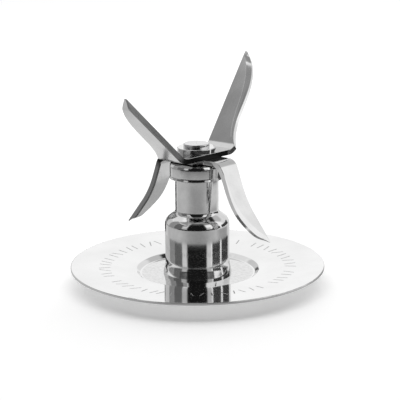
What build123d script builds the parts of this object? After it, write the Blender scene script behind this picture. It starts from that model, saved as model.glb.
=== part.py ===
from build123d import *
from math import copysign, cos, radians, sin
import os

# Blender blade assembly. Millimetres, +Z up, Z = 0 where the assembly stands on the rolled lip.

# Fits
run_gap = 0.04  # radial, shaft in bushes and seal
fit_gap = 0.02  # radial, pieces assembled to each other
end_play = 0.08  # axial, rotor in the housing
cap_gap = 0.45  # radial, turning cap round the neck
socket_gap = 0.4  # radial, turning socket in the drum

# Base plate, pressed from sheet
plate_d = 60.0
plate_t = 0.6
plate_edge = 0.15
recess_floor_d = 26.8
recess_depth = 0.9
recess_slope_angle = 40.0
recess_bend_r = 0.8
dish_slope_angle = 5.0

# Bearing housing, turned
roll_h = 1.0
roll_out = 1.0  # beyond the spigot
roll_round = 0.6
roll_back_round = 0.3
spigot_wall = 0.7
foot_out = 0.45  # beyond the drum
foot_edge = 0.4
foot_h = 2.4
foot_hollow_r = 4.8
drum_d = 15.2
drum_wall = 1.0
drum_h = 13.1
drum_depth = 11.4
shoulder_round = 2.5
shoulder_rise = 1.7
neck_d = 10.16
neck_top = 26.7
neck_round = 1.2
edge_round = 0.3
fine_round = 0.15

# Bushes, felt and seal
bush_wall = 1.0
bush_flange_d = 11.0
bush_flange_t = 0.8
lower_bush_l = 5.2
upper_bush_l = 5.0
seal_h = 1.6
seal_groove = 0.4

# Shaft and drive socket
shaft_d = 6.0
stud_d = 5.0
stud_flat = 4.2
head_out = 0.53  # beyond the stud
head_h = 0.85
head_round = 0.25
socket_foot = 0.8
socket_web = 2.0
socket_square = 7.6
socket_corner = 0.7
socket_chamfer = 0.5

# Cap and washers
thrust_t = 0.8
thrust_d = 9.4
cap_h = 3.55
cap_wall = 0.8
cap_top_t = 0.6
cap_crown_h = 0.45
cap_crown_in = 0.25
cap_crown_r = 1.5
cap_inner_round = 0.4
cap_flare = 0.15
cap_flare_h = 0.6
cap_flare_r = 1.2
washer_d = 9.0
washer_t = 1.22
washer_edge = 0.12

# Blades, pressed from sheet, bent and ground on the upper face; offsets run across an arm from its middle line
blade_t = 1.25
blade_turn_angle = -41.0
bevel_depth = 0.6  # at the tip
bevel_width = 1.6  # at the tip
bevel_start_share = 0.05
bevel_width_limit_share = 0.8
hub_round = 1.0
stations = 14

upper_bend_at = (7.3, 7.6)
upper_bend_r = 1.2
upper_bend_angles = (51.5, 39.9)
upper_reach = 25.5
upper_back = (3.7, 5.1)  # offset at the root and at the tip
upper_edge_first = ((0, -4.5), (6.2, -1.75), (14.7, -0.9), (21.2, 1.15))
upper_edge_second = ((0, -3.8), (6.2, -1.4), (14.7, -0.55), (21.2, 1.5))
upper_tip_w = 0.7

lower_bend_at = (7.0, 7.0)
lower_bend_r = 0.95
lower_bend_angles = (-69.0, -69.0)
lower_drop = 6.75
lower_flare_angle = 18.7
lower_flare_r = 9.0
lower_reach = 19.65
lower_back = (3.85, 3.4)
lower_edge_first = ((0, -1.8), (7.8, -1.5), (12.2, -1.2), (16.3, 0.35))
lower_edge_second = ((0, -1.8), (7.8, -1.3), (12.2, -0.75), (16.3, 0.85))
lower_tip_w = 0.3
lower_step = (2.1, 3.4)  # where the hub narrows from the back to the cutting edge

# Heights and radii that follow from the sizes above
seat_z = roll_h + plate_t
drum_bore_r = drum_d / 2 - drum_wall
spigot_r = drum_bore_r + spigot_wall
shoulder_z = seat_z + drum_h
bush_r = shaft_d / 2 + run_gap + bush_wall
neck_bore_r = bush_r + fit_gap
lower_bush_top = drum_depth + lower_bush_l
seal_z = neck_top - seal_h
upper_bush_z = seal_z - upper_bush_l
socket_top = drum_depth - bush_flange_t - end_play
socket_r = drum_bore_r - socket_gap
cap_ceiling = neck_top + end_play + thrust_t
cap_top = cap_ceiling + cap_top_t
lower_blade_z = cap_top
upper_blade_z = lower_blade_z + blade_t
washer_z = upper_blade_z + blade_t
head_z = washer_z + washer_t


def rounded_face(corners):
    """Face inside a closed outline of corners (across, up) or (across, up, rounding)."""
    face = make_face(Polyline(*[corner[:2] for corner in corners], close=True))
    for corner in corners:
        if len(corner) > 2:
            face = fillet(face.vertices().sort_by_distance(Vector(*corner[:2]))[0], corner[2])
    return face


def turned(corners):
    """Solid of revolution from a closed outline of corners (radius, height) or (radius, height, rounding)."""
    return revolve(Plane.XZ * rounded_face(corners), Axis.Z)


def ring(inner_r, outer_r, bottom, top):
    """Plain ring about Z."""
    return turned([(inner_r, bottom), (outer_r, bottom), (outer_r, top), (inner_r, top)])


def sheet_section(start, level, thickness, runs, tail):
    """Side view of bent sheet: straight runs (length, middle radius, turn), then a straight tail."""
    lines = []
    ends = []
    for side in (thickness / 2, -thickness / 2):
        point = Vector(start, level + side)
        heading = Vector(1, 0)
        ends.append(point)
        for length, radius, turn in runs:
            run = Line(point, point + heading * length)
            bend = JernArc(run @ 1, heading, radius - copysign(side, turn), turn)
            lines += [run, bend]
            point = bend @ 1
            heading = bend % 1
        last = Line(point, point + heading * tail)
        lines.append(last)
        ends.append(last @ 1)
    lines.append(Line(ends[0], ends[2]))
    lines.append(Line(ends[1], ends[3]))
    return make_face(lines)


def double_d(gap):
    """Section of the shaft's driving ends, grown by the gap."""
    return Circle(stud_d / 2 + gap) & Rectangle(2 * stud_d, stud_flat + 2 * gap)


def driven_hole(bottom, top):
    """Cutter for the holes that the shaft's driving ends go through."""
    return Pos(0, 0, bottom) * extrude(double_d(fit_gap), top - bottom)


def base_plate():
    slope = radians(recess_slope_angle)
    dish = radians(dish_slope_angle)
    climb = recess_depth - recess_bend_r * (1 - 2 * cos(slope) + cos(dish))
    wall = climb / sin(slope)
    hole_r = spigot_r + fit_gap
    floor = recess_floor_d / 2 - hole_r
    lip_r = recess_floor_d / 2 + wall * cos(slope) + recess_bend_r * (2 * sin(slope) - sin(dish))
    runs = [
        (floor, recess_bend_r, recess_slope_angle),
        (wall, recess_bend_r, dish_slope_angle - recess_slope_angle),
    ]
    tail = (plate_d / 2 - lip_r) / cos(dish) + plate_t
    plate = revolve(Plane.XZ * sheet_section(hole_r, seat_z - plate_t / 2, plate_t, runs, tail), Axis.Z)
    plate &= extrude(Circle(plate_d / 2), plate_d, both=True)
    rim = plate.edges().filter_by(GeomType.CIRCLE).sort_by(SortBy.RADIUS)[-2:]
    return fillet(rim, plate_edge)


def bearing_housing():
    roll_r = spigot_r + roll_out
    foot_r = drum_d / 2 + foot_out
    outline = [
        (drum_bore_r, 0),
        (roll_r, 0, roll_round),
        (roll_r, roll_h, roll_back_round),
        (spigot_r, roll_h),
        (spigot_r, seat_z),
        (foot_r, seat_z),
        (foot_r, seat_z + foot_edge, fine_round),
        (drum_d / 2, seat_z + foot_h, foot_hollow_r),
        (drum_d / 2, shoulder_z, shoulder_round),
        (neck_d / 2, shoulder_z + shoulder_rise, neck_round),
        (neck_d / 2, neck_top, edge_round),
        (neck_bore_r, neck_top),
        (neck_bore_r, drum_depth),
        (drum_bore_r, drum_depth, edge_round),
    ]
    return turned(outline)


def lower_bush():
    bore_r = shaft_d / 2 + run_gap
    outline = [
        (bore_r, drum_depth - bush_flange_t),
        (bush_flange_d / 2, drum_depth - bush_flange_t, edge_round),
        (bush_flange_d / 2, drum_depth),
        (bush_r, drum_depth),
        (bush_r, lower_bush_top),
        (bore_r, lower_bush_top),
    ]
    return turned(outline)


def upper_bush():
    return ring(shaft_d / 2 + run_gap, bush_r, upper_bush_z, seal_z)


def oil_felt():
    return ring(shaft_d / 2 + run_gap, bush_r, lower_bush_top, upper_bush_z)


def shaft_seal():
    lip_r = shaft_d / 2 + run_gap
    mouth = (bush_r + lip_r) / 2
    outline = [
        (lip_r, seal_z),
        (bush_r, seal_z),
        (bush_r, neck_top),
        (mouth, neck_top),
        (lip_r, neck_top - seal_groove),
    ]
    return turned(outline)


def drive_shaft():
    journal = Pos(0, 0, socket_top) * extrude(Circle(shaft_d / 2), cap_ceiling - socket_top)
    tail = Pos(0, 0, socket_top - socket_web) * extrude(double_d(0), socket_web)
    stud = Pos(0, 0, cap_ceiling) * extrude(double_d(0), head_z - cap_ceiling)
    head = Pos(0, 0, head_z) * extrude(Circle(stud_d / 2 + head_out), head_h)
    head = fillet(head.edges().sort_by(Axis.Z)[-1], head_round)
    return journal + tail + stud + head


def drive_socket():
    depth = socket_top - socket_web - socket_foot
    body = Pos(0, 0, socket_foot) * extrude(Circle(socket_r), socket_top - socket_foot)
    body = chamfer(body.edges().filter_by(GeomType.CIRCLE), edge_round)
    square = RectangleRounded(socket_square, socket_square, socket_corner)
    mouth = RectangleRounded(socket_square + 2 * socket_chamfer, socket_square + 2 * socket_chamfer, socket_corner)
    recess = Pos(0, 0, socket_foot) * extrude(square, depth)
    lead_in = loft([Pos(0, 0, socket_foot) * mouth, Pos(0, 0, socket_foot + socket_chamfer) * square])
    return body - recess - lead_in - driven_hole(socket_top - socket_web, socket_top)


def thrust_washer():
    return ring(shaft_d / 2 + fit_gap, thrust_d / 2, cap_ceiling - thrust_t, cap_ceiling)


def slinger_cap():
    inner_r = neck_d / 2 + cap_gap
    outer_r = inner_r + cap_wall
    bottom = cap_top - cap_h
    outline = [
        (0, cap_ceiling),
        (inner_r, cap_ceiling, cap_inner_round),
        (inner_r, bottom),
        (outer_r + cap_flare, bottom, fine_round),
        (outer_r, bottom + cap_flare_h, cap_flare_r),
        (outer_r, cap_top - cap_crown_h, cap_crown_r),
        (outer_r - cap_crown_in, cap_top, fine_round),
        (0, cap_top),
    ]
    return turned(outline) - driven_hole(cap_ceiling, cap_top)


def top_washer():
    body = Pos(0, 0, washer_z) * extrude(Circle(washer_d / 2), washer_t)
    body = chamfer(body.edges().filter_by(GeomType.CIRCLE), washer_edge)
    return body - driven_hole(washer_z, head_z)


def arm_path(start, heading, runs):
    """Middle line of an arm beyond its root bend: straight runs (length, radius, turn), turn 0 for the last."""
    edges = []
    for length, radius, turn in runs:
        edges.append(Line(start, start + heading * length))
        if turn:
            edges.append(JernArc(edges[-1] @ 1, heading, radius, turn))
        start = edges[-1] @ 1
        heading = edges[-1] % 1
    return Plane.XZ * Wire(edges)


def ground_section(place, direction, cut, back, ground):
    """Section of an arm across its sheet: square back, and a bevel on the upper face down to the land."""
    half = blade_t / 2
    depth = bevel_depth * ground
    width = min(bevel_width * ground, bevel_width_limit_share * (back - cut))
    corners = [(back, -half), (back, half), (cut + width, half), (cut, half - depth), (cut, -half)]
    return Plane(place, x_dir=(0, 1, 0), z_dir=direction) * make_face(Polyline(*corners, close=True))


def blade_arm(level, bend_at, bend_r, bend, runs, back, edge):
    """One arm along +X: root bend, then a loft of ground sections along the cutting edge to the tip."""
    radius = bend_r + blade_t / 2
    side = copysign(1, bend)
    turn = radians(bend)
    flat = Plane((bend_at, 0, level), x_dir=(0, 1, 0), z_dir=(1, 0, 0))
    width = back[0] - edge[0][1]
    root = flat * Pos(back[0] - width / 2, 0) * Rectangle(width, blade_t)
    elbow = revolve(root, Axis((bend_at, 0, level + side * radius), (0, -side, 0)), abs(bend))
    start = Vector(bend_at + radius * abs(sin(turn)), level + side * radius * (1 - cos(turn)))
    path = arm_path(start, Vector(cos(turn), sin(turn)), runs)
    reach = edge[-1][0]
    cutting = Spline(*edge)
    sections = []
    for station in range(stations + 1):
        point = cutting @ (station / stations)
        place = path.position_at(point.X, PositionMode.LENGTH)
        direction = path.tangent_at(point.X, PositionMode.LENGTH)
        spine = back[0] + (back[1] - back[0]) * point.X / reach
        ground = max(bevel_start_share, point.X / reach)
        sections.append(ground_section(place, direction, point.Y, spine, ground))
    return elbow + loft(sections)


def blade(bottom, bend_at, bend_r, bends, runs, back, edges, step=()):
    """Blade along X: flat hub, with a step on both sides where one is given, and an arm at each end."""
    roots = [edge[0][1] for edge in edges]
    low_side = [(place, offset, hub_round) for place, offset in zip(step, (-back[0], roots[0]))]
    high_side = [(-place, -offset, hub_round) for place, offset in zip(step, (-back[0], roots[1]))]
    first = [(bend_at[0], roots[0]), (bend_at[0], back[0])]
    second = [(-bend_at[1], -roots[1]), (-bend_at[1], -back[0])]
    whole = Pos(0, 0, bottom) * extrude(rounded_face(low_side + first + high_side + second), blade_t)
    for half_turn, place, bend, edge in zip((0, 180), bend_at, bends, edges):
        whole += Rot(0, 0, half_turn) * blade_arm(bottom + blade_t / 2, place, bend_r, bend, runs, back, edge)
    return whole


def lower_blade():
    runs = [(lower_drop, lower_flare_r, lower_flare_angle), (lower_reach, 0, 0)]
    tip = (lower_reach, lower_back[1] - lower_tip_w)
    edges = [(*lower_edge_first, tip), (*lower_edge_second, tip)]
    pressed = blade(
        lower_blade_z,
        lower_bend_at,
        lower_bend_r,
        lower_bend_angles,
        runs,
        lower_back,
        edges,
        lower_step,
    )
    return pressed - driven_hole(lower_blade_z, upper_blade_z)


def upper_blade():
    runs = [(upper_reach + blade_t, 0, 0)]
    tip = (upper_reach, upper_back[1] - upper_tip_w)
    edges = [(*upper_edge_first, tip), (*upper_edge_second, tip)]
    pressed = blade(upper_blade_z, upper_bend_at, upper_bend_r, upper_bend_angles, runs, upper_back, edges)
    return Rot(0, 0, 90) * pressed - driven_hole(upper_blade_z, washer_z)


fixed = {
    "base_plate": base_plate,
    "bearing_housing": bearing_housing,
    "lower_bush": lower_bush,
    "oil_felt": oil_felt,
    "upper_bush": upper_bush,
    "shaft_seal": shaft_seal,
}
turning = {
    "drive_shaft": drive_shaft,
    "drive_socket": drive_socket,
    "thrust_washer": thrust_washer,
    "slinger_cap": slinger_cap,
    "lower_blade": lower_blade,
    "upper_blade": upper_blade,
    "top_washer": top_washer,
}

os.makedirs("parts", exist_ok=True)
for name, make in fixed.items():
    export_step(make(), f"parts/{name}.step")
for name, make in turning.items():
    export_step(Rot(0, 0, blade_turn_angle) * make(), f"parts/{name}.step")
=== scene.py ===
from math import cos, radians, sin, tan

import bpy
import numpy as np
from bpy.props import FloatProperty, FloatVectorProperty, IntProperty, PointerProperty
from bpy.types import Operator, Panel, PropertyGroup
from mathutils import Matrix, Vector


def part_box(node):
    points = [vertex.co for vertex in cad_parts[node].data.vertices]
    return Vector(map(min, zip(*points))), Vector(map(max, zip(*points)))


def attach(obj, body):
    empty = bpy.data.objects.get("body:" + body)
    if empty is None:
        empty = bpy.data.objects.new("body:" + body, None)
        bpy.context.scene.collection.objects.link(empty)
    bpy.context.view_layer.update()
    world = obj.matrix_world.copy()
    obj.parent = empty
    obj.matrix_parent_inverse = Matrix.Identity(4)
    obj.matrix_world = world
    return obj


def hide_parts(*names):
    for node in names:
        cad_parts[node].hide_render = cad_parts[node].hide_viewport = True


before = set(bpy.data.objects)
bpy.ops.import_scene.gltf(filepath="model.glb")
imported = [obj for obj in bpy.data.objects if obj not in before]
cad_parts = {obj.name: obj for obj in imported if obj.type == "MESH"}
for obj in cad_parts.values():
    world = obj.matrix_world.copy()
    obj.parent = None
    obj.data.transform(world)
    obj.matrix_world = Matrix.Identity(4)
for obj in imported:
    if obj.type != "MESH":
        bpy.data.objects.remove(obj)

bl_info = {
    "name": "Blender blade assembly",
    "version": (1, 0, 0),
    "blender": (4, 5, 0),
    "location": "3D View > Sidebar > Blade set",
    "description": "Dresses the packed blade assembly in pressed, turned and ground steel",
    "category": "Object",
}

MM = 0.001
TURN = 2 * np.pi
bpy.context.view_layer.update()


# Properties


def number(name, description, default, **kind):
    """Number that a user can set, of some kind."""
    return FloatProperty(name=name, description=description, default=default, **kind)


def length(name, description, millimetres):
    """Length, with its default in millimetres."""
    return number(name, description, millimetres * MM, unit="LENGTH", precision=5)


def angle(name, description, degrees):
    """Angle, with its default in degrees."""
    return number(name, description, radians(degrees), subtype="ANGLE")


def factor(name, description, default):
    """Plain factor."""
    return number(name, description, default, subtype="FACTOR", min=0, max=2)


def several(name, description, defaults, **kind):
    """Several numbers that a user can set, of one kind."""
    return FloatVectorProperty(
        name=name, description=description, default=defaults, size=len(defaults), **kind
    )


def lengths(name, description, millimetres):
    """Several lengths, with their defaults in millimetres."""
    defaults = [value * MM for value in millimetres]
    return several(name, description, defaults, unit="LENGTH", precision=5)


def angles(name, description, degrees):
    """Several angles, with their defaults in degrees."""
    return several(name, description, [radians(value) for value in degrees], unit="ROTATION")


def tint(name, description, red, green, blue):
    """Linear colour."""
    return several(name, description, (red, green, blue), subtype="COLOR", min=0, max=1)


class PlateSizes(PropertyGroup):
    """Pressed plate that closes the jar."""

    sheet: length("Sheet", "Thickness of the sheet", 0.6)
    hole: length("Hole", "Diameter of the hole for the post", 14.64)
    floor_width: length("Recess floor", "Diameter of the recess floor", 26.8)
    recess_depth: length("Recess depth", "Step from the recess floor to the dish", 0.9)
    bend: length("Bend", "Radius of the sheet's middle in the recess bends", 0.8)
    edge: length("Edge", "Rounding of the rim and of the hole", 0.15)
    recess_slope: angle("Recess slope", "Slope of the recess wall", 40)
    dish_slope: angle("Dish slope", "Slope of the outer band", 5)
    stroke_inside: length("Strokes inside", "Inner radius of the ring of strokes", 20.7)
    stroke_outside: length("Strokes outside", "Outer radius of the ring of strokes", 23.3)
    strokes: IntProperty(
        name="Strokes", description="Places for stamped strokes in a full ring", default=60, min=8
    )


class PostSizes(PropertyGroup):
    """Turned bearing housing that stands on the plate."""

    bore: length("Drum bore", "Diameter of the drum's bore", 13.2)
    neck_bore: length("Neck bore", "Diameter of the neck's bore", 8.12)
    drum: length("Drum", "Diameter of the drum", 15.2)
    foot: length("Foot", "Diameter of the drum's foot", 16.1)
    foot_edge: length("Foot edge", "Height of the foot's straight edge", 0.4)
    foot_rise: length("Foot rise", "Height over which the foot runs into the drum", 2.4)
    foot_hollow: length("Foot hollow", "Radius where the foot runs into the drum", 4.8)
    spigot: length("Spigot", "Diameter of the spigot through the plate", 14.6)
    lip_round: length("Lip rounding", "Rounding of the rolled lip", 0.6)
    drum_depth: length("Drum depth", "Height of the drum's bore above the standing plane", 11.4)
    shoulder: length("Shoulder height", "Height of the shoulder's corner above the seat", 13.1)
    shoulder_round: length("Shoulder rounding", "Rounding of the shoulder", 2.5)
    shoulder_rise: length("Shoulder rise", "Rise of the shoulder to the neck", 1.7)
    neck: length("Neck", "Diameter of the neck", 10.16)
    neck_round: length("Neck hollow", "Radius at the foot of the neck", 1.2)
    edge: length("Edge", "Rounding of small edges", 0.3)


class CapSizes(PropertyGroup):
    """Bell-shaped cap, clamp washer, shaft and drive socket that turn together."""

    wall: length("Cap wall", "Wall of the cap", 0.8)
    top: length("Cap top", "Thickness of the cap's top", 0.6)
    outside: length("Cap width", "Diameter of the cap's side", 12.66)
    crown: length("Crown height", "Height of the cap's leaning top edge", 0.45)
    crown_in: length("Crown lean", "How far the cap's top edge leans in", 0.25)
    crown_round: length("Crown rounding", "Radius between the cap's side and its top edge", 1.5)
    inner_round: length("Inner rounding", "Rounding inside the cap", 0.4)
    edge: length("Cap edge", "Rounding of the cap's small edges", 0.15)
    flare: length("Cap flare", "How far the cap's rim stands out", 0.15)
    flare_height: length("Flare height", "Height of the cap's flared rim", 0.6)
    flare_round: length("Flare hollow", "Radius above the flared rim", 1.2)
    washer_edge: length("Washer edge", "Rounding of the clamp washer", 0.16)
    shaft: length("Shaft", "Diameter of the shaft's journal", 6.0)
    stud: length("Stud", "Width of the shaft's driving ends", 4.8)
    head_height: length("Head height", "Height of the riveted head", 0.85)
    head_round: length("Head rounding", "Rounding of the riveted head", 0.25)
    web: length("Socket web", "Thickness of the socket's web", 2.0)
    socket_edge: length("Socket edge", "Chamfer of the socket's outer edges", 0.3)
    square: length("Square", "Width of the square socket", 7.6)
    square_corner: length("Square corner", "Corner radius of the square socket", 0.7)
    lead_in: length("Lead-in", "Chamfer at the socket's mouth", 0.5)


class BladeSheet:
    """Sizes that both blades share."""

    sheet: length("Sheet", "Thickness of the sheet", 1.25)
    drop: length("Straight run", "Straight run before the flare", 6.75)
    flare_radius: length("Flare radius", "Radius of the flare at the arms' ends", 9.0)
    flare_ease: length("Eased flare", "How far the flare runs out into the straight sheet", 2.5)
    bevel_depth: length("Bevel depth", "Depth of the ground bevel at the tip", 0.6)
    bevel_width: length("Bevel width", "Width of the ground bevel at the tip", 1.6)
    bevel_start: factor("Bevel start", "Share of the bevel that is ground at the root", 0.05)
    deburr: length("Deburred edge", "Chamfer of the other edges", 0.06)
    relief: length("Rolled edge", "Width of the rounded lower edge along an arm's back", 0.4)
    thin_tip: length("Thin tip", "Length over which a tip is thinned from below", 3.0)


class UpperBladeSizes(BladeSheet, PropertyGroup):
    """Blade with its arms bent up."""

    azimuth: angle("Azimuth", "Direction of the first arm", 49)
    bend_at: lengths("Bends start", "Distances of both root bends from the shaft", (7.3, 7.6))
    bend: length("Bend", "Inside radius of the root bends", 1.2)
    ease: length("Eased bend", "How far the bends run out into the flat sheet", 0.8)
    ground_from: length("Ground from", "Where the ground side starts, from the shaft", 6.0)
    turns: angles("Turns", "Turns of both root bends, upwards", (51.5, 39.9))
    flare_turn: angle("Flare", "Turn of the arms' ends, upwards", 0)
    reach: length("Reach", "Length of an arm beyond its root bend", 25.5)
    back: lengths("Back", "Offsets of the back edge at the root and at the tip", (3.7, 5.1))
    edge_along: lengths("Edge places", "Cutting edges' points, along", (0, 6.2, 14.7, 21.2))
    first_edge: lengths("First edge", "Their offsets, first arm", (-4.5, -1.75, -0.9, 1.15))
    second_edge: lengths("Second edge", "Their offsets, second arm", (-3.8, -1.4, -0.55, 1.5))
    tip: length("Tip", "Width of the tips", 0.7)
    step: lengths("Step", "Where the hub narrows, both 0 for straight sides", (0, 0))


class LowerBladeSizes(BladeSheet, PropertyGroup):
    """Blade with its arms bent down and flared."""

    azimuth: angle("Azimuth", "Direction of the first arm", -41)
    bend_at: lengths("Bends start", "Distances of both root bends from the shaft", (7.0, 7.0))
    bend: length("Bend", "Inside radius of the root bends", 0.95)
    ease: length("Eased bend", "How far the bends run out into the flat sheet", 0.3)
    ground_from: length("Ground from", "Where the ground side starts, from the shaft", 0.0)
    turns: angles("Turns", "Turns of both root bends, upwards", (-69, -69))
    flare_turn: angle("Flare", "Turn of the arms' ends, upwards", 18.7)
    reach: length("Reach", "Length of an arm beyond its root bend", 19.65)
    back: lengths("Back", "Offsets of the back edge at the root and at the tip", (3.85, 3.4))
    edge_along: lengths("Edge places", "Cutting edges' points, along", (0, 7.8, 12.2, 16.3))
    first_edge: lengths("First edge", "Their offsets, first arm", (-1.8, -1.5, -1.2, 0.35))
    second_edge: lengths("Second edge", "Their offsets, second arm", (-1.8, -1.3, -0.75, 0.85))
    tip: length("Tip", "Width of the tips", 0.3)
    step: lengths("Step", "Where the hub narrows, both 0 for straight sides", (2.1, 3.4))


class FinishColours(PropertyGroup):
    """Colours of the finishes."""

    plate: tint("Plate steel", "Bright pressed sheet", 0.9, 0.9, 0.9)
    turned: tint("Turned steel", "Polished turned steel", 0.86, 0.86, 0.86)
    blade: tint("Blade steel", "Satin sheet of the blades", 0.84, 0.84, 0.84)
    ground: tint("Ground bevel", "Ground bevels of the blades", 0.9, 0.9, 0.9)
    sheared: tint("Sheared edge", "Sheared sides of the blades", 0.36, 0.36, 0.36)
    shaft: tint("Shaft steel", "Ground shaft and socket", 0.74, 0.74, 0.75)
    bronze: tint("Bronze", "Sintered bronze of the bushes", 0.55, 0.38, 0.2)
    felt: tint("Felt", "Oiled felt", 0.62, 0.55, 0.42)
    rubber: tint("Rubber", "Shaft seal", 0.05, 0.05, 0.05)
    nylon: tint("Nylon", "Thrust washer", 0.88, 0.87, 0.82)


class StageSettings(PropertyGroup):
    """Camera, floor and light."""

    camera_distance: length("Camera distance", "From the camera to its target", 300)
    camera_elevation: angle("Camera elevation", "Height of the camera above the horizon", 14.225)
    camera_roll: angle("Camera roll", "Tilt of the camera about its line of sight", -0.491)
    camera_lens: number("Lens", "Focal length", 115.12, unit="CAMERA")
    target_across: length("Target across", "Place of the target along X", 0.718)
    target_height: length("Target height", "Place of the target along Z", 19.09)
    floor_width: length("Floor", "Radius of the floor", 3000)
    floor_fade: length("Floor fade", "Where the floor has run out into plain white", 700)
    floor_glow: factor("Floor glow", "Light that the floor adds to its own white", 0.27)
    sky: factor("Sky", "Strength of the soft light from all round", 0.11)
    lamp_power: number("Lamp", "Power of the lamp", 48, unit="POWER")
    lamp_elevation: angle("Lamp elevation", "Height of the lamp above the horizon", 40)
    lamp_distance: length("Lamp distance", "From the lamp to the object", 1300)
    lamp_width: length("Lamp width", "Width of the lamp", 3000)
    lamp_height: length("Lamp height", "Height of the lamp", 2400)
    surround: length("Surroundings", "Distance of the surroundings that the steel reflects", 450)
    table: length("Table", "Radius of the table top that the steel reflects", 124)


# Surfaces

ARC_STEPS = 10
SUPPORTS = (0.03, 0.5, 0.97)  # places along a straight side of an outline
SAME_POINT = 1e-8
LATHE_SEGMENTS = 224
SOCKET_SEGMENTS = 192
SHARP_EDGE = 28
BLADE_SHARP_EDGE = 24
BLADE_STEP = 0.25 * MM
BEVEL_LIMIT = 0.8  # shares of an arm's width
ROLLED_LIMIT = 0.4
SIDE_STEPS = (8, 1, 1, 3, 8, 3, 1, 1)  # columns on each side of a blade's section


def smooth(value):
    """Smooth step from 0 to 1: 3 t^2 - 2 t^3."""
    t = np.clip(value, 0, 1)
    return t * t * (3 - 2 * t)


def rounded(corners):
    """Closed outline whose corners (across, up, round) are replaced by tangent arcs.

    An arc starts at round * tan(turn / 2) before its corner, and its centre lies square to the
    side there. Support points keep the shading of straight sides flat. Points of the plane are
    complex numbers.
    """
    across, up, rounds = np.array(corners, float).T
    points = across + 1j * up
    into = points - np.roll(points, 1)
    into /= np.abs(into)
    turn = np.angle(np.roll(into, -1) / into)
    arm = -1j * into * np.sign(turn) * rounds
    centre = points - into * rounds * np.tan(np.abs(turn) / 2) - arm
    swing = turn[:, None] * np.linspace(0, 1, ARC_STEPS + 1)
    arcs = centre[:, None] + arm[:, None] * np.exp(1j * swing)
    start = arcs[:, -1:]
    run = np.roll(arcs[:, :1], -1, axis=0) - start
    outline = np.concatenate([arcs, start + run * np.array(SUPPORTS)], axis=1).ravel()
    outline = outline[np.abs(outline - np.roll(outline, 1)) > SAME_POINT]
    return np.stack([outline.real, outline.imag], axis=-1)


def full_turn(segments):
    """Even angles all round."""
    return np.arange(segments) * TURN / segments


def lathe(outline, swing):
    """Outline (radius, height) carried round the shaft: x = r cos a, y = r sin a, z = height."""
    radius = outline[:, :1]
    height = np.broadcast_to(outline[:, 1:], (len(outline), len(swing)))
    return np.stack([radius * np.cos(swing), radius * np.sin(swing), height], axis=-1)


def turned(corners):
    """Turned piece: corners (radius, height, round), rounded and carried all round the shaft."""
    return lathe(rounded(corners), full_turn(LATHE_SEGMENTS))


def skin(rows, columns, closed, strip=False):
    """Quads of a grid whose rows close on themselves where closed, its columns unless a strip."""
    row = np.arange(rows if closed else rows - 1)[:, None]
    column = np.arange(columns - 1 if strip else columns)[None, :]
    next_row = (row + 1) % rows
    next_column = (column + 1) % columns
    corners = (row, column), (row, next_column), (next_row, next_column), (next_row, column)
    return np.stack([a * columns + b for a, b in corners], axis=-1).reshape(-1, 4)


def placed(name, data):
    """New object in the scene."""
    made = bpy.data.objects.new(name, data)
    bpy.context.scene.collection.objects.link(made)
    return made


def make_piece(
    name, grid, body, node, materials, closed=True, sharp=SHARP_EDGE, along=None, zones=None
):
    """Mesh object from a grid of points (row, column, xyz), with flat ends unless its rows close.

    along gives each point's place (row, column, uv) for a pattern, zones each quad's material.
    """
    rows, columns = grid.shape[:2]
    quads = skin(rows, columns, closed)
    faces = quads.tolist()
    if not closed:
        faces.append(list(range(columns))[::-1])
        faces.append(list(range((rows - 1) * columns, rows * columns)))
    mesh = bpy.data.meshes.new(name)
    mesh.from_pydata(grid.reshape(-1, 3).tolist(), [], faces)
    if along is not None:
        corner = np.empty(len(mesh.loops), np.int32)
        mesh.loops.foreach_get("vertex_index", corner)
        layer = mesh.uv_layers.new(name="Along")
        layer.data.foreach_set("uv", along.reshape(-1, 2)[corner].astype(np.float32).ravel())
    for material in materials:
        mesh.materials.append(material)
    if zones is not None:
        numbers = np.zeros(len(mesh.polygons), np.int32)
        numbers[: len(quads)] = zones.ravel()
        mesh.polygons.foreach_set("material_index", numbers)
    mesh.shade_smooth()
    mesh.set_sharp_from_angle(angle=radians(sharp))
    mesh.validate()
    piece = placed(name, mesh)
    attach(piece, body)
    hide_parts(node)


def plate_corners(plate):
    """Section of the pressed sheet: its middle line's corners, moved to both faces."""
    low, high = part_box("base_plate")
    hole = plate.hole / 2
    half = plate.sheet / 2
    slope = plate.recess_slope
    dish = plate.dish_slope
    climb = plate.recess_depth - plate.bend * (1 - 2 * cos(slope) + cos(dish))
    wall = climb / sin(slope) + plate.bend * (tan(slope / 2) + tan((slope - dish) / 2))
    foot = np.array([plate.floor_width / 2 + plate.bend * tan(slope / 2), low.z + half])
    lip = foot + wall * np.array([cos(slope), sin(slope)])
    rim = lip + (high.x - lip[0]) * np.array([1, tan(dish)])
    mean = (slope + dish) / 2
    miter = half / cos((slope - dish) / 2)
    foot_miter = np.array([-half * tan(slope / 2), half])
    lip_miter = np.array([-miter * sin(mean), miter * cos(mean)])
    wide = plate.bend + half
    tight = plate.bend - half
    rise = half / cos(dish)
    return [
        (hole, low.z, plate.edge),
        (*(foot - foot_miter), wide),
        (*(lip - lip_miter), tight),
        (rim[0], rim[1] - rise, plate.edge),
        (rim[0], rim[1] + rise, plate.edge),
        (*(lip + lip_miter), wide),
        (*(foot + foot_miter), tight),
        (hole, low.z + plate.sheet, plate.edge),
    ]


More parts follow.
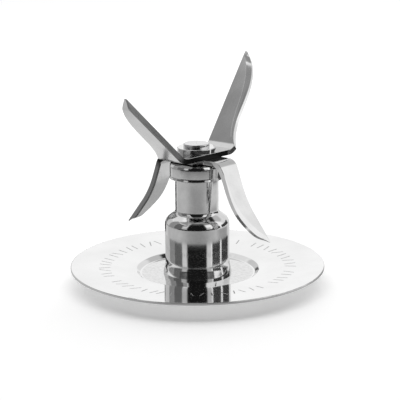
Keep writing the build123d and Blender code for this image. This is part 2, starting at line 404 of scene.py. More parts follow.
def post_corners(post, sheet):
    """Section of the housing, from its bore round the lip, foot, drum and shoulder to the neck."""
    low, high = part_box("bearing_housing")
    plate_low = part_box("base_plate")[0].z
    seat = plate_low + sheet
    shoulder = seat + post.shoulder
    return [
        (post.bore / 2, low.z, 0),
        (high.x, low.z, post.lip_round),
        (high.x, plate_low, post.edge),
        (post.spigot / 2, plate_low, 0),
        (post.spigot / 2, seat, 0),
        (post.foot / 2, seat, 0),
        (post.foot / 2, seat + post.foot_edge, post.edge / 2),
        (post.drum / 2, seat + post.foot_rise, post.foot_hollow),
        (post.drum / 2, shoulder, post.shoulder_round),
        (post.neck / 2, shoulder + post.shoulder_rise, post.neck_round),
        (post.neck / 2, high.z, post.edge),
        (post.neck_bore / 2, high.z, 0),
        (post.neck_bore / 2, post.drum_depth, 0),
        (post.bore / 2, post.drum_depth, post.edge),
    ]


def cap_corners(cap):
    """Section of the bell: flared rim, straight side and leaning top edge, open below."""
    low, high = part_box("slinger_cap")
    outside = cap.outside / 2
    inside = outside - cap.wall
    return [
        (inside, low.z, 0),
        (outside + cap.flare, low.z, cap.edge),
        (outside, low.z + cap.flare_height, cap.flare_round),
        (outside, high.z - cap.crown, cap.crown_round),
        (outside - cap.crown_in, high.z, cap.edge),
        (cap.stud / 2, high.z, 0),
        (cap.stud / 2, high.z - cap.top, 0),
        (inside, high.z - cap.top, cap.inner_round),
    ]


def washer_corners(cap):
    """Section of the clamp washer, a flat ring with rounded outer edges."""
    low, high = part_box("top_washer")
    return [
        (cap.stud / 2, low.z, 0),
        (high.x, low.z, cap.washer_edge),
        (high.x, high.z, cap.washer_edge),
        (cap.stud / 2, high.z, 0),
    ]


def shaft_corners(cap):
    """Section of the shaft from its lower end over the journal and the stud to the riveted head.

    A fine hole along the axis keeps the quads at both ends whole.
    """
    low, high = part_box("drive_shaft")
    journal_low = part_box("drive_socket")[1].z
    journal_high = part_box("slinger_cap")[1].z - cap.top
    head = high.z - cap.head_height
    fine_hole = cap.stud / 40
    return [
        (fine_hole, low.z, 0),
        (cap.stud / 2, low.z, 0),
        (cap.stud / 2, journal_low, 0),
        (cap.shaft / 2, journal_low, 0),
        (cap.shaft / 2, journal_high, 0),
        (cap.stud / 2, journal_high, 0),
        (cap.stud / 2, head, 0),
        (high.x, head, 0),
        (high.x, high.z, cap.head_round),
        (fine_hole, high.z, 0),
    ]


def rounded_square(half, corner, swing):
    """Distance of a rounded square's edge in each direction: its sides or its corner arcs."""
    narrow, wide = np.sort(np.abs([np.cos(swing), np.sin(swing)]), axis=0)
    core = half - corner
    inside = np.maximum(corner**2 - (core * (wide - narrow)) ** 2, 0)
    arc = core * (wide + narrow) + np.sqrt(inside)
    return np.where(half / wide * narrow > core, arc, half / wide)


def socket_grid(cap, turn):
    """Drive socket as closed curves round the shaft: circles outside, rounded squares inside."""
    low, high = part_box("drive_socket")
    swing = full_turn(SOCKET_SEGMENTS)
    circle = np.ones(SOCKET_SEGMENTS)
    square = rounded_square(cap.square / 2, cap.square_corner, swing)
    mouth = rounded_square(cap.square / 2 + cap.lead_in, cap.square_corner, swing)
    web = high.z - cap.web
    edge = cap.socket_edge
    rows = [
        (circle * cap.stud / 2, high.z),
        (circle * cap.stud / 2, web),
        (square * SUPPORTS[-1], web),
        (square, web),
        (square, low.z + cap.lead_in),
        (mouth, low.z),
        (circle * (high.x - edge), low.z),
        (circle * high.x, low.z + edge),
        (circle * high.x, high.z - edge),
        (circle * (high.x - edge), high.z),
    ]
    radius = np.array([row[0] for row in rows])
    height = np.array([row[1] for row in rows])[:, None] * circle
    return np.stack([radius * np.cos(swing + turn), radius * np.sin(swing + turn), height], axis=-1)


def blade_line(place, knots, headings):
    """Middle line of bent sheet, the running sum of its heading, which is linear between knots.

    A step of constant curvature moves by its length along its mean heading, times sin(x) / x of
    half its turn.
    """
    heading = np.interp(place, knots, headings)
    turn = np.diff(heading)
    step = np.diff(place) * np.sinc(turn / TURN)
    middle = (heading[:-1] + heading[1:]) / 2
    across = np.concatenate([[0], np.cumsum(step * np.cos(middle))])
    height = np.concatenate([[0], np.cumsum(step * np.sin(middle))])
    across -= np.interp(0, place, across)
    height -= np.interp(0, place, height)
    return across, height, heading


def blade_path(blade):
    """Places along a blade, its middle line there, and where both arms begin.

    The knots of an arm are both ends of its root bend and of its flare, and its tip. The places
    are the knots and even steps between them.
    """
    radius = blade.bend + blade.sheet / 2
    roots = [start + radius * abs(turn) for start, turn in zip(blade.bend_at, blade.turns)]
    reaches = []
    headings = []
    for start, root, turn in zip(blade.bend_at, roots, blade.turns):
        flare = root + blade.drop
        flared = flare + blade.flare_radius * blade.flare_turn + blade.flare_ease
        bend = [start - blade.ease, root + blade.ease]
        reaches.append([*bend, flare - blade.flare_ease, flared, root + blade.reach])
        headings.append([0, turn, turn, turn + blade.flare_turn, turn + blade.flare_turn])
    knots = np.array([-x for x in reaches[1][::-1]] + [0] + reaches[0])
    turns = np.array([-x for x in headings[1][::-1]] + [0] + headings[0])
    stops = knots[np.diff(knots, prepend=-1) > 0]
    counts = np.ceil(np.diff(stops) / BLADE_STEP).astype(int)
    runs = [np.linspace(*run, endpoint=False) for run in zip(stops[:-1], stops[1:], counts)]
    place = np.concatenate([*runs, stops[-1:]])
    return place, blade_line(place, knots, turns), roots


def cutting_edge(blade, offsets, run):
    """Offset of a cutting edge along an arm: the polynomial through its points and the tip."""
    along = np.append(blade.edge_along, blade.reach)
    aside = np.append(offsets, blade.back[1] - blade.tip)
    return np.polyval(np.polyfit(along, aside, len(along) - 1), run)


def hub_side(blade, place, ends, root):
    """Offset of a side of the hub, from the back of one arm to the cutting edge of the other.

    A step is spread smoothly over one and a half times its length.
    """
    if blade.step[1] > blade.step[0]:
        margin = blade.step[1] - blade.step[0]
        share = smooth((place - blade.step[0] + margin / 4) / (1.5 * margin))
    else:
        share = (place + ends[0]) / (ends[0] + ends[1])
    return -blade.back[0] + (root + blade.back[0]) * share


def blade_grid(blade, level):
    """Blade as sections carried along its middle line, from the second arm's tip to the first's.

    A section is the sheet's rectangle between the back and the cutting edge, with a ground bevel on
    the upper face at the cutting edge, a rounded lower edge at the back and small chamfers
    elsewhere. Its sides count from 0, the lower face, over 2, the high side, and 4, the upper face,
    to 6, the low side, with chamfers or bevels between. The zones number the quads' finishes:
    0 faces, 1 ground, 2 sheared.
    """
    half = blade.sheet / 2
    place, (across, height, heading), roots = blade_path(blade)
    first = place > 0
    beyond = np.where(first, place - roots[0], -place - roots[1])
    run = np.clip(beyond, 0, blade.reach)
    back = blade.back[0] + (blade.back[1] - blade.back[0]) * run / blade.reach
    first_edge = cutting_edge(blade, blade.first_edge, run)
    second_edge = cutting_edge(blade, blade.second_edge, run)
    hub = (place > -blade.bend_at[1]) & (place < blade.bend_at[0])
    waist = hub & (blade.step[1] > blade.step[0])
    ends = tuple(blade.bend_at)
    low_hub = hub_side(blade, place, ends[::-1], blade.first_edge[0])
    high_hub = -hub_side(blade, -place, ends, blade.second_edge[0])
    low = np.where(hub, low_hub, np.where(first, first_edge, -back))
    high = np.where(hub, high_hub, np.where(first, back, -second_edge))

    ground = np.where(beyond > 0, np.maximum(run / blade.reach, blade.bevel_start), 0)
    fine = np.full_like(place, blade.deburr)
    width = np.clip(blade.bevel_width * ground, fine, BEVEL_LIMIT * (high - low))
    point = smooth((run - blade.reach) / blade.thin_tip + 1)
    depth = np.maximum(width * blade.bevel_depth / blade.bevel_width * (1 - point), fine)
    lift = point * (blade.sheet - depth - 3 * fine)  # a tip keeps three chamfers under its bevel
    rolled = fine + (blade.relief - fine) * np.where(waist, 1, smooth(beyond / blade.relief))
    rolled = np.minimum(rolled, ROLLED_LIMIT * (high - low))
    rise = np.maximum(rolled / 2, fine)
    top = np.full_like(place, half)
    keen = first & ~waist
    blunt = ~first & ~waist
    corners = [
        (low + np.where(keen, fine, rolled), lift - top),
        (high - np.where(blunt, fine, rolled), lift - top),
        (high, np.where(blunt, fine, rise) + lift - top),
        (high, top - np.where(first, fine, depth)),
        (high - np.where(first, fine, width), top),
        (low + np.where(first, width, fine), top),
        (low, top - np.where(first, depth, fine)),
        (low, np.where(keen, fine, rise) + lift - top),
    ]
    section = np.array(corners).transpose(2, 0, 1)
    side = np.repeat(np.arange(len(corners)), SIDE_STEPS)
    part = np.concatenate([np.arange(steps) / steps for steps in SIDE_STEPS])[:, None]
    ring = section[:, side] * (1 - part) + section[:, (side + 1) % len(corners)] * part
    aside = ring[..., 0]
    up = ring[..., 1]
    x = across[:, None] - up * np.sin(heading)[:, None]
    z = height[:, None] + up * np.cos(heading)[:, None] + level + half
    plan = (x + 1j * aside) * np.exp(1j * blade.azimuth)
    grid = np.stack([plan.real, plan.imag, z], axis=-1)
    along = np.stack([np.broadcast_to(place[:, None], aside.shape), aside], axis=-1)

    ahead = first[:-1, None]
    bevel = np.where(ahead, side == 5, side == 3) & (width[:-1, None] > 3 * blade.deburr)
    bright_hub = np.isin(side, (2, 6)) & waist[:-1, None]
    beside = np.where(ahead, side == 6, side == 2)
    land = beside & (np.abs(place) > blade.ground_from)[:-1, None]
    sheared = np.isin(side, (1, 2, 6, 7))
    zones = np.select([bevel | land | bright_hub, sheared], [1, 2], 0)
    return grid, along, np.broadcast_to(zones, (len(place) - 1, len(side)))


# Nodes


def add(tree, kind, inputs=None, **settings):
    """Outputs of a new node with its settings, and its inputs linked or set."""
    made = tree.nodes.new(kind)
    for name, value in settings.items():
        setattr(made, name, value)
    for name, value in (inputs or {}).items():
        if isinstance(value, bpy.types.NodeSocket):
            tree.links.new(value, made.inputs[name])
        else:
            made.inputs[name].default_value = value
    return made.outputs


def reckon(tree, operation, first, second=0.0):
    """Result of a calculation with one or two numbers."""
    return add(tree, "ShaderNodeMath", {0: first, 1: second}, operation=operation)[0]


def ramp(tree, value, start=0.0, end=1.0, low=0.0, high=1.0):
    """Value spread from low at the start to high at the end, and level beyond."""
    limits = {"Value": value, "From Min": start, "From Max": end, "To Min": low, "To Max": high}
    return add(tree, "ShaderNodeMapRange", limits)["Result"]


def mix(tree, mask, first, second, kind="RGBA"):
    """Colour, or number of kind FLOAT, that goes from the first to the second with the mask."""
    inputs = {"Factor": mask, "A": first, "B": second}
    return add(tree, "ShaderNodeMix", inputs, data_type=kind)["Result"]


def multiplied(tree, first, second):
    """Vectors multiplied axis by axis."""
    inputs = {0: first, 1: second}
    return add(tree, "ShaderNodeVectorMath", inputs, operation="MULTIPLY")["Vector"]


def axes(tree, vector):
    """Sockets X, Y and Z of a vector."""
    return add(tree, "ShaderNodeSeparateXYZ", {"Vector": vector})


def object_place(tree):
    """Object coordinates."""
    return add(tree, "ShaderNodeTexCoord")["Object"]


def sheet_place(tree):
    """Places along and across a blade's sheet."""
    return add(tree, "ShaderNodeUVMap", uv_map="Along")["UV"]


def from_shaft(tree):
    """Distance from the shaft."""
    flat = multiplied(tree, object_place(tree), (1, 1, 0))
    return add(tree, "ShaderNodeVectorMath", {0: flat}, operation="LENGTH")["Value"]


def noise(tree, place, scale, detail, roughness):
    """Cloudy noise at a place."""
    inputs = {"Vector": place, "Scale": scale, "Detail": detail, "Roughness": roughness}
    return add(tree, "ShaderNodeTexNoise", inputs)["Fac"]


def bump(tree, height, strength, depth, normal=None):
    """Normal from a height of some depth, laid over another normal where given."""
    inputs = {"Height": height, "Strength": strength, "Distance": depth}
    if normal is not None:
        inputs["Normal"] = normal
    return add(tree, "ShaderNodeBump", inputs)["Normal"]


# Node groups


def turning_marks(tree, given):
    """Fine rings left by the lathe: noise on (distance from the shaft, height)."""
    height = axes(tree, object_place(tree))["Z"]
    rings = add(tree, "ShaderNodeCombineXYZ", {"X": from_shaft(tree), "Z": height})
    return noise(tree, rings["Vector"], given["Scale"], detail=3.0, roughness=0.6)


def sheet_grain(tree, given):
    """Rolling grain of sheet: noise drawn out along one direction of the sheet."""
    scales = {"X": given["Along"], "Y": given["Across"], "Z": 1.0}
    scale = add(tree, "ShaderNodeCombineXYZ", scales)["Vector"]
    place = multiplied(tree, sheet_place(tree), scale)
    return noise(tree, place, scale=1.0, detail=4.0, roughness=0.65)


def handling(tree, given):
    """Faint cloudy variation of the polish, left by handling and cleaning."""
    clouds = noise(tree, object_place(tree), given["Scale"], detail=5.0, roughness=0.55)
    return ramp(tree, clouds, start=0.3, end=0.7)


GROUPS = {
    "Turning marks": (turning_marks, {"Scale": 9000.0}),
    "Sheet grain": (sheet_grain, {"Along": 60.0, "Across": 6000.0}),
    "Handling": (handling, {"Scale": 150.0}),
}


def shared_group(name):
    """Node group that several finishes use, made once: number inputs and one Mask output."""
    made = bpy.data.node_groups.get(name)
    if made is not None:
        return made
    pattern, inputs = GROUPS[name]
    tree = bpy.data.node_groups.new(name, "ShaderNodeTree")
    for title, default in inputs.items():
        socket = tree.interface.new_socket(title, in_out="INPUT", socket_type="NodeSocketFloat")
        socket.default_value = default
    tree.interface.new_socket("Mask", in_out="OUTPUT", socket_type="NodeSocketFloat")
    mask = pattern(tree, tree.nodes.new("NodeGroupInput").outputs)
    tree.links.new(mask, tree.nodes.new("NodeGroupOutput").inputs["Mask"])
    return tree


def pattern_mask(tree, name, **values):
    """Mask of a shared node group, placed in a material with its own values."""
    return add(tree, "ShaderNodeGroup", values, node_tree=shared_group(name))["Mask"]


# Finishes

TURNED_ROUGHNESS = 0.1
SHAFT_ROUGHNESS = 0.16
BLADE_STEELS = (  # name, colour, roughness, scales of the grain along and across, reach of the painted shade about the hub
    ("Blade steel", "blade", 0.12, 70.0, 5000.0, 0),
    ("Ground bevel", "ground", 0.1, 5000.0, 400.0, 0),
    # the sheared sides and lower chamfers near the hub get painted shade, almost black
    ("Sheared edge", "sheared", 0.3, 4000.0, 500.0, 8.5 * MM),
)
INSIDE = {  # name, colour, metallic, roughness, scale and depth of the grain
    "lower_bush": ("Lower bush bronze", "bronze", 1.0, 0.45, 4000.0, 0.02 * MM),
    "upper_bush": ("Upper bush bronze", "bronze", 1.0, 0.45, 4000.0, 0.02 * MM),
    "oil_felt": ("Oiled felt", "felt", 0.0, 0.95, 2500.0, 0.1 * MM),
    "shaft_seal": ("Seal rubber", "rubber", 0.0, 0.6, 3000.0, 0.02 * MM),
    "thrust_washer": ("Washer nylon", "nylon", 0.0, 0.4, 2000.0, 0.01 * MM),
}
PAINTED_SHADE = 0.04  # share of the colour left where shade is painted on the hub
# width over which the painted shade fades out
PAINTED_SHADE_FADE = 2 * MM
STROKE_LEAN = 0.5  # numbers for strokes are shares of a cell's width or of the ring's
STROKE_SHIFTS = (0.35, 0.65)
STROKE_EDGES = (0.08, 0.05)
STROKE_ENDS = (0.53, 0.5)
STROKES_LEFT_OUT = 0.2
STROKE_COLOUR = (0.5, 0.5, 0.5, 1)
STROKE_ROUGHNESS = 0.4


def new_finish(name, metallic, pattern, *values):
    """Material whose Principled shader gets its colour, roughness and normal from the pattern."""
    material = bpy.data.materials.new(name)
    material.use_nodes = True
    tree = material.node_tree
    shader = tree.nodes["Principled BSDF"]
    shader.inputs["Metallic"].default_value = metallic
    for title, socket in zip(("Base Color", "Roughness", "Normal"), pattern(tree, *values)):
        tree.links.new(socket, shader.inputs[title])
    return material


def times(colour, share):
    """Colour with an alpha of 1, made darker to the share."""
    return (*[share * value for value in colour], 1)


def two_tones(tree, mask, colour, low, high=1.0):
    """Colour that changes with the mask from a low share of itself to a high one."""
    return mix(tree, mask, times(colour, low), times(colour, high))


def turned_steel(tree, colour, roughness):
    """Polished turned steel: fine rings in the gloss and the surface, cloudy polish."""
    rings = pattern_mask(tree, "Turning marks", Scale=7000.0)
    clouds = pattern_mask(tree, "Handling", Scale=600.0)
    sheen = two_tones(tree, clouds, colour, low=0.88)
    gloss = ramp(tree, rings, low=0.6 * roughness, high=1.4 * roughness)
    return sheen, gloss, bump(tree, rings, strength=0.06, depth=0.002 * MM)


def blade_steel(tree, colour, roughness, along, across, painted_shade_reach):
    """Sheet steel: grain along or across the arms, cloudy polish, painted shade, almost black, near
    the hub.
    """
    grain = pattern_mask(tree, "Sheet grain", Along=along, Across=across)
    clouds = pattern_mask(tree, "Handling", Scale=180.0)
    sheen = two_tones(tree, clouds, colour, low=0.86)
    # painted shade: almost black within the given distance of the shaft, fading out beyond
    if painted_shade_reach:
        run = reckon(tree, "ABSOLUTE", axes(tree, sheet_place(tree))["X"])
        mask = ramp(tree, run, painted_shade_reach + PAINTED_SHADE_FADE, painted_shade_reach)
        sheen = mix(tree, mask, sheen, times(colour, PAINTED_SHADE))
    gloss = ramp(tree, grain, low=0.7 * roughness, high=1.3 * roughness)
    return sheen, gloss, bump(tree, grain, strength=0.15, depth=0.004 * MM)


def stroke_mask(tree, plate):
    """Ring of plain stamped strokes, leaning and placed by numbers drawn per cell of the angle.

    A stroke is the window of |place in the cell - shift - lean * height in the ring|, and a share
    of the cells has none.
    """
    place = axes(tree, object_place(tree))
    swing = reckon(tree, "ARCTAN2", place["Y"], place["X"])
    cells = reckon(tree, "MULTIPLY", swing, plate.strokes / TURN)
    cell = {"W": reckon(tree, "FLOOR", cells)}
    drawn = add(tree, "ShaderNodeTexWhiteNoise", cell, noise_dimensions="1D")["Color"]
    numbers = add(tree, "ShaderNodeSeparateColor", {"Color": drawn})
    deep = plate.stroke_outside - plate.stroke_inside
    middle = (plate.stroke_outside + plate.stroke_inside) / deep / 2
    height = reckon(tree, "SUBTRACT", reckon(tree, "DIVIDE", from_shaft(tree), deep), middle)
    slant = ramp(tree, numbers["Red"], low=-STROKE_LEAN, high=STROKE_LEAN)
    lean = reckon(tree, "MULTIPLY", slant, height)
    shift = ramp(tree, numbers["Green"], 0.0, 1.0, *STROKE_SHIFTS)
    aside = reckon(tree, "SUBTRACT", reckon(tree, "FRACT", cells), shift)
    line = reckon(tree, "ABSOLUTE", reckon(tree, "SUBTRACT", aside, lean))
    stroke = ramp(tree, line, *STROKE_EDGES)
    band = ramp(tree, reckon(tree, "ABSOLUTE", height), *STROKE_ENDS)
    kept = reckon(tree, "GREATER_THAN", numbers["Blue"], STROKES_LEFT_OUT)
    facing = add(tree, "ShaderNodeNewGeometry")["True Normal"]
    upper = reckon(tree, "GREATER_THAN", axes(tree, facing)["Z"])
    marks = reckon(tree, "MULTIPLY", reckon(tree, "MULTIPLY", stroke, band), kept)
    return reckon(tree, "MULTIPLY", marks, upper)


def plate_steel(tree, colour, plate):
    """Bright pressed sheet: cloudy polish, duller recess floor, faint rings, stamped strokes."""
    clouds = pattern_mask(tree, "Handling", Scale=110.0)
    grain = pattern_mask(tree, "Handling", Scale=1400.0)
    rings = pattern_mask(tree, "Turning marks", Scale=3000.0)
    strokes = stroke_mask(tree, plate)
    edge = plate.floor_width / 2
    band = ramp(tree, from_shaft(tree), edge - plate.sheet / 2, edge)
    floor = two_tones(tree, grain, colour, low=0.72, high=0.9)
    sheen = mix(tree, band, floor, two_tones(tree, clouds, colour, low=0.92))
    gloss = ramp(tree, clouds, low=0.05, high=0.09)
    level = ramp(tree, strokes, low=1.0, high=0.0)
    pressed = bump(tree, level, strength=0.4, depth=0.04 * MM)
    return (
        mix(tree, strokes, sheen, STROKE_COLOUR),
        mix(tree, strokes, gloss, STROKE_ROUGHNESS, "FLOAT"),
        bump(tree, rings, strength=0.03, depth=0.002 * MM, normal=pressed),
    )


def plain_finish(tree, colour, roughness, scale, depth):
    """Finish of the pieces inside the post: cloudy colour and a fine grain."""
    grain = pattern_mask(tree, "Handling", Scale=scale)
    sheen = two_tones(tree, grain, colour, low=0.8)
    gloss = ramp(tree, grain, low=0.8 * roughness, high=roughness)
    return sheen, gloss, bump(tree, grain, strength=0.4, depth=depth)


# Stage

# Patches on the surroundings: tone, then limits and soft edge of the azimuth and of the elevation
DOME_TONE = 1.0
DOME_PATCHES = {
    "back left": (0.62, (-168, -118, 8), (-20, 32, 8)),
    "back right": (0.8, (112, 165, 8), (-20, 54, 6)),
    "back left, high": (0.8, (-200, -118, 6), (34, 58, 6)),
    "back right, high": (0.55, (114, 200, 6), (34, 58, 6)),
    "left": (0.3, (-118, -90, 5), (-20, 50, 5)),
    "panels": (0.55, (-90, 50, 3), (-20, 24, 8)),
    "left, near": (0.14, (-90, -56, 4), (-20, 46, 4)),
    "left, front": (0.4, (-56, -40, 4), (28, 52, 5)),
    "low": (0.06, (-62, 58, 3), (-20, 5, 2)),
    "ceiling": (0.3, (-110, 110, 30), (50, 100, 8)),
    "back right, top": (0.02, (100, 175, 6), (52, 78, 4)),
    "front": (0.01, (-37, 34, 6), (-20, 58, 4)),
    "front, high": (0.07, (-40, 40, 15), (58, 72, 6)),
    "back left, low": (0.1, (-172, -152, 4), (-20, 8, 4)),
}
# The same on the table top, with shares of its radius in place of the elevation
TABLE_TONE = 0.52
TABLE_PATCHES = {
    "back left": (0.72, (-200, -125, 20), (0, 9, 0.1)),
    "back right": (0.72, (125, 200, 20), (0, 9, 0.1)),
    "right": (0.36, (75, 125, 20), (0, 0.6, 0.1)),
    "right, far": (0.62, (75, 125, 20), (0.6, 1, 0.1)),
    "front": (0.32, (-40, 40, 60), (0, 9, 0.1)),
    "front, far": (0.45, (-40, 40, 60), (0.82, 1, 0.06)),
    "beyond front": (0.03, (-72, 72, 8), (1, 9, 0.02)),
    "beyond left": (0.3, (-135, -72, 8), (1, 9, 0.02)),
    "beyond right": (1.0, (72, 135, 8), (1, 9, 0.02)),
    "dark strip": (0.05, (-200, -138, 6), (0.36, 1.15, 0.04)),
}
FLAGS = {  # tone, radius and heights in millimetres, azimuths
    "flag_right": (0.05, 65, (9, 30), (52, 85)),
    "flag_back": (0.05, 65, (9, 30), (92, 135)),
}
DOME_ELEVATIONS = np.linspace(-8, 89.5, 196)
TABLE_RADII = np.arange(31.0, 200.0) * MM
TABLE_LEVEL = 0.05 * MM
FLAG_COLUMNS = 48
FLOOR_RADII = (1 * MM, 40 * MM, 200 * MM)
FLOOR_LEVEL = -0.02 * MM
FLOOR_SEGMENTS = 96
PAPER = (0.92, 0.92, 0.92, 1)
WHITE = (1, 1, 1, 1)
CLIP_START = 10 * MM


def stage_mesh(name, grid, material, tones=None, strip=False):
    """Stage object from a grid of points, facing the object, with each point's tone where given."""
    mesh = bpy.data.meshes.new(name)
    quads = skin(*grid.shape[:2], False, strip)
    mesh.from_pydata(grid[::-1].reshape(-1, 3).tolist(), [], quads.tolist())
    if tones is not None:
        layer = mesh.attributes.new("Tone", "FLOAT", "POINT")
        layer.data.foreach_set("value", tones[::-1].astype(np.float32).ravel())
    mesh.materials.append(material)
    made = placed(name, mesh)
    return made


def seen_rays(tree):
    """1 on rays from the camera, in reflections and through glass, 0 on those that light."""
    path = add(tree, "ShaderNodeLightPath")
    seen = reckon(tree, "MAXIMUM", path["Is Camera Ray"], path["Is Glossy Ray"])
    return reckon(tree, "MAXIMUM", seen, path["Is Transmission Ray"])


def bare_material(name):
    """Material without nodes, and its tree."""
    material = bpy.data.materials.new(name)
    material.use_nodes = True
    material.node_tree.nodes.clear()
    return material, material.node_tree


def show(tree, surface, hidden):
    """Ends a material with its surface, clear where hidden is 1."""
    clear = add(tree, "ShaderNodeBsdfTransparent")
    inputs = {0: hidden, 1: surface[0], 2: clear[0]}
    both = add(tree, "ShaderNodeMixShader", inputs)
    add(tree, "ShaderNodeOutputMaterial", {"Surface": both[0]})


def floor_finish(settings):
    """White paper that keeps shadows, glows a little, runs out into white, clear from below."""
    material, tree = bare_material("White paper")
    seen = seen_rays(tree)
    paper = add(tree, "ShaderNodeBsdfDiffuse", {"Color": PAPER})
    strength = reckon(tree, "MULTIPLY", seen, settings.floor_glow)
    glow = add(tree, "ShaderNodeEmission", {"Strength": strength})
    near = add(tree, "ShaderNodeAddShader", {0: paper[0], 1: glow[0]})
    far = add(tree, "ShaderNodeEmission", {"Strength": seen})
    fading = ramp(tree, from_shaft(tree), settings.floor_fade / 2, settings.floor_fade)
    inputs = {0: fading, 1: near[0], 2: far[0]}
    sheet = add(tree, "ShaderNodeMixShader", inputs)
    back = add(tree, "ShaderNodeNewGeometry")["Backfacing"]
    camera = add(tree, "ShaderNodeLightPath")["Is Camera Ray"]
    show(tree, sheet, reckon(tree, "MULTIPLY", back, camera))
    return material


def toned_finish():
    """Surface that shines with its points' tone, whatever light falls on it, clear from behind."""
    material, tree = bare_material("Surroundings")
    tone = add(tree, "ShaderNodeAttribute", attribute_name="Tone")["Fac"]
    light = add(tree, "ShaderNodeEmission", {"Strength": tone})
    show(tree, light, add(tree, "ShaderNodeNewGeometry")["Backfacing"])
    material.cycles.emission_sampling = "NONE"
    return material


def window(value, low, high, soft):
    """1 from low to high and 0 elsewhere, with smooth edges of the soft width."""
    return smooth((value - low) / soft + 0.5) * smooth((high - value) / soft + 0.5)


def painted(tone, patches, across, up):
    """Tone of each point of a grid: patches, windows across times windows up, laid on in order."""
    tones = np.full((len(up), len(across)), tone, float)
    for value, sides, heights in patches.values():
        tones += (value - tones) * window(up, *heights)[:, None] * window(across, *sides)
    return tones


def reflected_only(name, outline, azimuth, finish, tones, strip=False):
    """Part of the surroundings that shows in reflections alone, an outline carried round.

    Azimuth 0 is in front, and it is positive to the right.
    """
    made = stage_mesh(name, lathe(outline, np.radians(azimuth - 90)), finish, tones, strip)
    made.visible_camera = False
    made.visible_diffuse = False
    made.visible_shadow = False


def surroundings(settings):
    """Dome, table top and flags that the steel reflects."""
    azimuth = np.arange(-180.0, 180.0)
    finish = toned_finish()

    up = np.radians(DOME_ELEVATIONS)
    dome = np.stack([np.cos(up), np.sin(up)], axis=-1) * settings.surround
    dome[:, 1] += settings.target_height
    tones = painted(DOME_TONE, DOME_PATCHES, azimuth, DOME_ELEVATIONS)
    reflected_only("dome", dome, azimuth, finish, tones)

    radius = np.append(TABLE_RADII, settings.surround)
    table = np.stack([radius, np.full_like(radius, TABLE_LEVEL)], axis=-1)
    tones = painted(TABLE_TONE, TABLE_PATCHES, azimuth, radius / settings.table)
    reflected_only("table", table, azimuth, finish, tones)

    for name, (tone, away, heights, sides) in FLAGS.items():
        flag = np.array([(away, height) for height in heights]) * MM
        tones = np.full((len(flag), FLAG_COLUMNS), tone)
        columns = np.linspace(*sides, FLAG_COLUMNS)
        reflected_only(name, flag, columns, finish, tones, strip=True)


def white_floor(settings):
    """Round floor about the shaft."""
    radius = np.array([*FLOOR_RADII, settings.floor_width])
    outline = np.stack([radius, np.full_like(radius, FLOOR_LEVEL)], axis=-1)
    stage_mesh("floor", lathe(outline, full_turn(FLOOR_SEGMENTS)), floor_finish(settings))


def back_lamp(settings):
    """Large soft lamp behind the object that faces it and isn't seen in the steel."""
    data = bpy.data.lights.new("back_lamp", "AREA")
    data.shape = "RECTANGLE"
    data.size = settings.lamp_width
    data.size_y = settings.lamp_height
    data.energy = settings.lamp_power
    made = placed("back_lamp", data)
    way = Vector((0, cos(settings.lamp_elevation), sin(settings.lamp_elevation)))
    made.location = Vector((0, 0, settings.target_height)) + way * settings.lamp_distance
    made.rotation_euler = way.to_track_quat("Z", "Y").to_euler()
    made.visible_camera = False
    made.visible_glossy = False


def photo_camera(settings):
    """Camera at the photograph's distance, height and roll."""
    data = bpy.data.cameras.new("Camera")
    data.lens = settings.camera_lens
    data.clip_start = CLIP_START
    camera = placed("Camera", data)
    up = settings.camera_elevation
    away = Vector((0, -cos(up), sin(up))) * settings.camera_distance
    target = Vector((settings.target_across, 0, settings.target_height))
    tilt = Matrix.Rotation(TURN / 4 - up, 4, "X") @ Matrix.Rotation(settings.camera_roll, 4, "Z")
    camera.matrix_world = Matrix.Translation(target + away) @ tilt
    bpy.context.scene.camera = camera


def studio_world(strength):
    """White surroundings: strength 1 where they are seen, and the given one where they light."""
    world = bpy.data.worlds.new("White studio")
    bpy.context.scene.world = world
    world.use_nodes = True
    tree = world.node_tree
    tree.nodes.clear()
    level = ramp(tree, seen_rays(tree), low=strength)
    light = add(tree, "ShaderNodeBackground", {"Color": WHITE, "Strength": level})
    add(tree, "ShaderNodeOutputWorld", {"Surface": light[0]})


# Operators


class BLADESET_OT_plate(Operator):
    """Press the plate"""

    bl_idname = "bladeset.plate"
    bl_label = "Plate"

    def execute(self, context):
        sizes = context.scene.bladeset_plate
        colour = context.scene.bladeset_finish.plate
        steel = new_finish("Plate steel", 1.0, plate_steel, colour, sizes)
        grid = turned(plate_corners(sizes))
        make_piece("plate", grid, "base", "base_plate", [steel])
        return {"FINISHED"}


class BLADESET_OT_post(Operator):
    """Turn the bearing housing"""

    bl_idname = "bladeset.post"
    bl_label = "Post"

    def execute(self, context):
        scene = context.scene
        colour = scene.bladeset_finish.turned
        steel = new_finish("Turned steel", 1.0, turned_steel, colour, TURNED_ROUGHNESS)
        grid = turned(post_corners(scene.bladeset_post, scene.bladeset_plate.sheet))
        make_piece("post", grid, "base", "bearing_housing", [steel])
        return {"FINISHED"}


class BLADESET_OT_cap(Operator):
    """Turn the bell-shaped cap and the clamp washer"""

    bl_idname = "bladeset.cap"
    bl_label = "Cap and washer"

    def execute(self, context):
        sizes = context.scene.bladeset_cap
        colour = context.scene.bladeset_finish.turned
        steel = new_finish("Cap steel", 1.0, turned_steel, colour, TURNED_ROUGHNESS)
        cap = turned(cap_corners(sizes))
        make_piece("cap", cap, "rotor", "slinger_cap", [steel])
        washer = turned(washer_corners(sizes))
        make_piece("washer", washer, "rotor", "top_washer", [steel])
        return {"FINISHED"}


class BLADESET_OT_shaft(Operator):
    """Turn the shaft with its riveted head, and mill the drive socket"""

    bl_idname = "bladeset.shaft"
    bl_label = "Shaft and socket"

    def execute(self, context):
        sizes = context.scene.bladeset_cap
        colour = context.scene.bladeset_finish.shaft
        steel = new_finish("Shaft steel", 1.0, turned_steel, colour, SHAFT_ROUGHNESS)
        shaft = turned(shaft_corners(sizes))
        make_piece("shaft", shaft, "rotor", "drive_shaft", [steel])
        socket = socket_grid(sizes, context.scene.bladeset_lower.azimuth)
        make_piece("socket", socket, "rotor", "drive_socket", [steel])
        return {"FINISHED"}


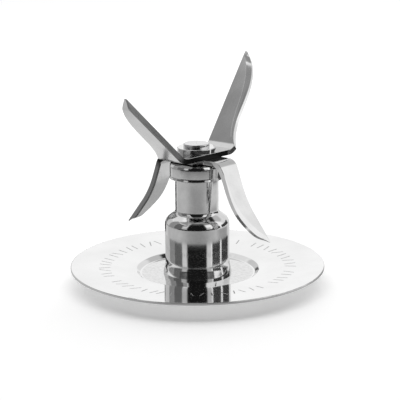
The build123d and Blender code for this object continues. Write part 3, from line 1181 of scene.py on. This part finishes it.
class BLADESET_OT_blades(Operator):
    """Bend and grind both blades"""

    bl_idname = "bladeset.blades"
    bl_label = "Blades"

    def execute(self, context):
        scene = context.scene
        steels = []
        for name, colour, *values in BLADE_STEELS:
            colour = getattr(scene.bladeset_finish, colour)
            steels.append(new_finish(name, 1.0, blade_steel, colour, *values))
        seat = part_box("slinger_cap")[1].z
        for name, node, blade in (
            ("blade_lower", "lower_blade", scene.bladeset_lower),
            ("blade_upper", "upper_blade", scene.bladeset_upper),
        ):
            grid, along, zones = blade_grid(blade, seat)
            make_piece(
                name, grid, "rotor", node, steels,
                closed=False, sharp=BLADE_SHARP_EDGE, along=along, zones=zones,
            )
            seat += blade.sheet
        return {"FINISHED"}


class BLADESET_OT_inside(Operator):
    """Give the bushes, felt, seal and thrust washer inside the post their finishes"""

    bl_idname = "bladeset.inside"
    bl_label = "Inside the post"

    def execute(self, context):
        for node, (name, colour, metallic, *values) in INSIDE.items():
            colour = getattr(context.scene.bladeset_finish, colour)
            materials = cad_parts[node].data.materials
            materials.clear()
            materials.append(new_finish(name, metallic, plain_finish, colour, *values))
        return {"FINISHED"}


class BLADESET_OT_stage(Operator):
    """Set the camera, the white floor, the light and what the steel reflects"""

    bl_idname = "bladeset.stage"
    bl_label = "Stage"

    def execute(self, context):
        settings = context.scene.bladeset_stage
        context.scene.view_settings.view_transform = "Standard"
        photo_camera(settings)
        studio_world(settings.sky)
        white_floor(settings)
        surroundings(settings)
        back_lamp(settings)
        return {"FINISHED"}


class BLADESET_PT_sidebar(Panel):
    """Lists the operators of the blade set"""

    bl_idname = "BLADESET_PT_sidebar"
    bl_label = "Blade set"
    bl_space_type = "VIEW_3D"
    bl_region_type = "UI"
    bl_category = "Blade set"

    def draw(self, context):
        for operator in OPERATORS:
            self.layout.operator(operator.bl_idname)


OPERATORS = (
    BLADESET_OT_plate,
    BLADESET_OT_post,
    BLADESET_OT_cap,
    BLADESET_OT_shaft,
    BLADESET_OT_blades,
    BLADESET_OT_inside,
    BLADESET_OT_stage,
)
SETTINGS = {
    "bladeset_plate": PlateSizes,
    "bladeset_post": PostSizes,
    "bladeset_cap": CapSizes,
    "bladeset_upper": UpperBladeSizes,
    "bladeset_lower": LowerBladeSizes,
    "bladeset_finish": FinishColours,
    "bladeset_stage": StageSettings,
}
CLASSES = (*SETTINGS.values(), *OPERATORS, BLADESET_PT_sidebar)


def register():
    for made in CLASSES:
        bpy.utils.register_class(made)
    for name, kind in SETTINGS.items():
        setattr(bpy.types.Scene, name, PointerProperty(type=kind))


def unregister():
    for name in SETTINGS:
        delattr(bpy.types.Scene, name)
    for made in reversed(CLASSES):
        bpy.utils.unregister_class(made)


def main():
    register()
    bpy.ops.bladeset.plate()
    bpy.ops.bladeset.post()
    bpy.ops.bladeset.cap()
    bpy.ops.bladeset.shaft()
    bpy.ops.bladeset.blades()
    bpy.ops.bladeset.inside()
    bpy.ops.bladeset.stage()


if __name__ == "__main__":
    main()
